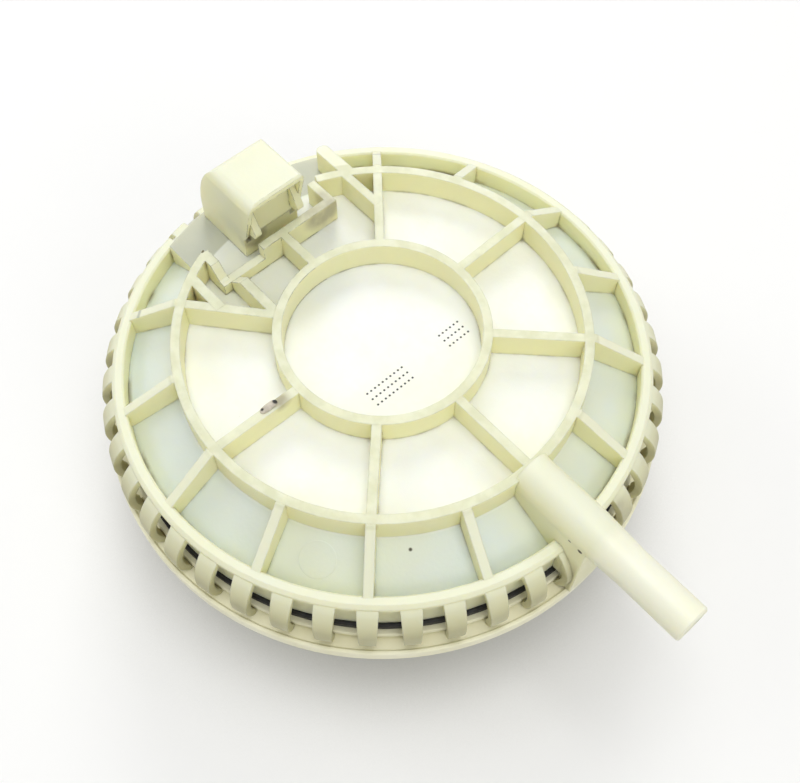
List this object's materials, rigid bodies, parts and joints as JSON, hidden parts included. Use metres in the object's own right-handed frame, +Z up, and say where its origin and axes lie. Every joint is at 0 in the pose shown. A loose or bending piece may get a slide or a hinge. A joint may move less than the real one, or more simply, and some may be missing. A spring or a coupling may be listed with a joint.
{
  "type": "washing machine pressure switch",
  "caption": "Round diaphragm water-level pressure switch with a ribbed clip-on cover, side hose nipple, hooked mounting box and two contact sets in a housing underneath.",
  "frame": {"origin": "on the chamber's axis, on the plane of the base cover's underside that the switch stands on", "axes": "+Z up along the chamber's axis towards the ribbed cover, +X along the hose nipple, +Y to the level contact set's side"},
  "size_m": [0.1163, 0.0986, 0.054],
  "materials": {
    "ivory_polypropylene": "aged, slightly translucent, moulded",
    "beige_polypropylene": "moulded, satin",
    "black_rubber": "matte",
    "white_acetal": "moulded, satin",
    "red_acetal": "moulded, satin",
    "spring_steel": "drawn wire",
    "zinc_plated_steel": "plated",
    "bare_brass": "turned",
    "tinned_brass": "tin plated, stamped",
    "blade_bronze": "rolled strip",
    "contact_silver": "bright"
  },
  "bodies": {
    "housing": {"cover": "ivory_polypropylene", "body_shell": "beige_polypropylene", "diaphragm": "black_rubber", "main_spring": "spring_steel", "base_cover": "beige_polypropylene", "base_screws": "zinc_plated_steel", "level_common_terminal": "tinned_brass", "level_closed_terminal": "tinned_brass", "level_open_terminal": "tinned_brass", "overflow_common_terminal": "tinned_brass", "overflow_closed_terminal": "tinned_brass", "overflow_open_terminal": "tinned_brass", "fixed_contacts": "contact_silver"},
    "plunger_group": {"diaphragm_plate": "white_acetal", "plunger": "red_acetal"},
    "seat": {"spring_seat": "zinc_plated_steel"},
    "screw": {"calibration_screw": "bare_brass"},
    "level_arm": {"level_blade": "blade_bronze", "level_moving_contact": "contact_silver"},
    "overflow_arm": {"overflow_blade": "blade_bronze", "overflow_moving_contact": "contact_silver"}
  },
  "joints": [
    {"name": "plunger_slide", "type": "slide", "parent": "housing", "child": "plunger_group", "axis": [0, 0, -1], "range_m": [0, 0.002], "stiffness_N_per_m": 1500, "springref_m": -0.0025, "deforming": ["diaphragm", "main_spring"]},
    {"name": "level_swing", "type": "hinge", "parent": "housing", "child": "level_arm", "pos_m": [0.011, 0.01, 0.0088], "axis": [0, -1, 0], "range_deg": [0, 8.3]},
    {"name": "overflow_swing", "type": "hinge", "parent": "housing", "child": "overflow_arm", "pos_m": [0.011, -0.01, 0.0088], "axis": [0, -1, 0], "range_deg": [0, 5.48]},
    {"name": "seat_slide", "type": "slide", "parent": "housing", "child": "seat", "axis": [0, 0, 1], "range_m": [-0.0004, 0.0004], "deforming": ["main_spring"]},
    {"name": "screw_turn", "type": "hinge", "parent": "seat", "child": "screw", "pos_m": [0, 0, 0.003], "axis": [0, 0, 1], "range_deg": [-180, 180]}
  ],
  "couplings": [
    {"joint": "level_swing", "follows": "plunger_slide", "rad_per_m": 72.4},
    {"joint": "overflow_swing", "follows": "plunger_slide", "rad_per_m": 47.7},
    {"joint": "screw_turn", "follows": "seat_slide", "rad_per_m": 7853.9}
  ]
}
